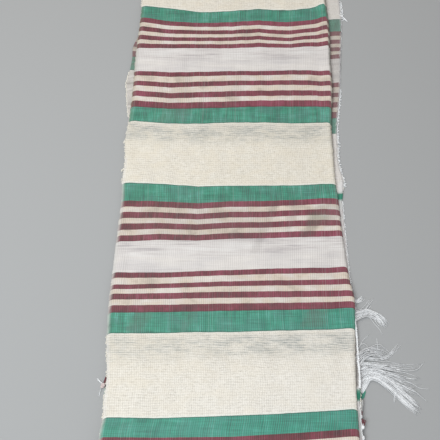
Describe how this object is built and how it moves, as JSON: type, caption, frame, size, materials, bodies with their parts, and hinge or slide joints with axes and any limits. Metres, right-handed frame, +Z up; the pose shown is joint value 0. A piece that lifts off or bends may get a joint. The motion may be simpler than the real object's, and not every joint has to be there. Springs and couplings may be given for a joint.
{
  "type": "folded woven djellaba fabric",
  "caption": "Handwoven wool and silk djellaba cloth, cream with green and maroon weft stripes, folded lengthwise with its near end turned under and loose warp fringe at its side.",
  "frame": {"origin": "middle of the whole part's box, fringe included, on the surface that the cloth lies on", "axes": "+Y along the warp from the turned-under near end to the far cut end, +X across the folds towards the fringe, +Z up"},
  "size_m": [0.3976, 0.7398, 0.012],
  "materials": {
    "cloth": "nubby wool with silky green and maroon weft stripes",
    "warp_ends": "loose white cotton warp threads"
  },
  "bodies": {
    "root": {"cloth": "cloth", "fringe_large": "warp_ends", "fringe_small": "warp_ends", "fringe_knot": "warp_ends"}
  },
  "joints": []
}
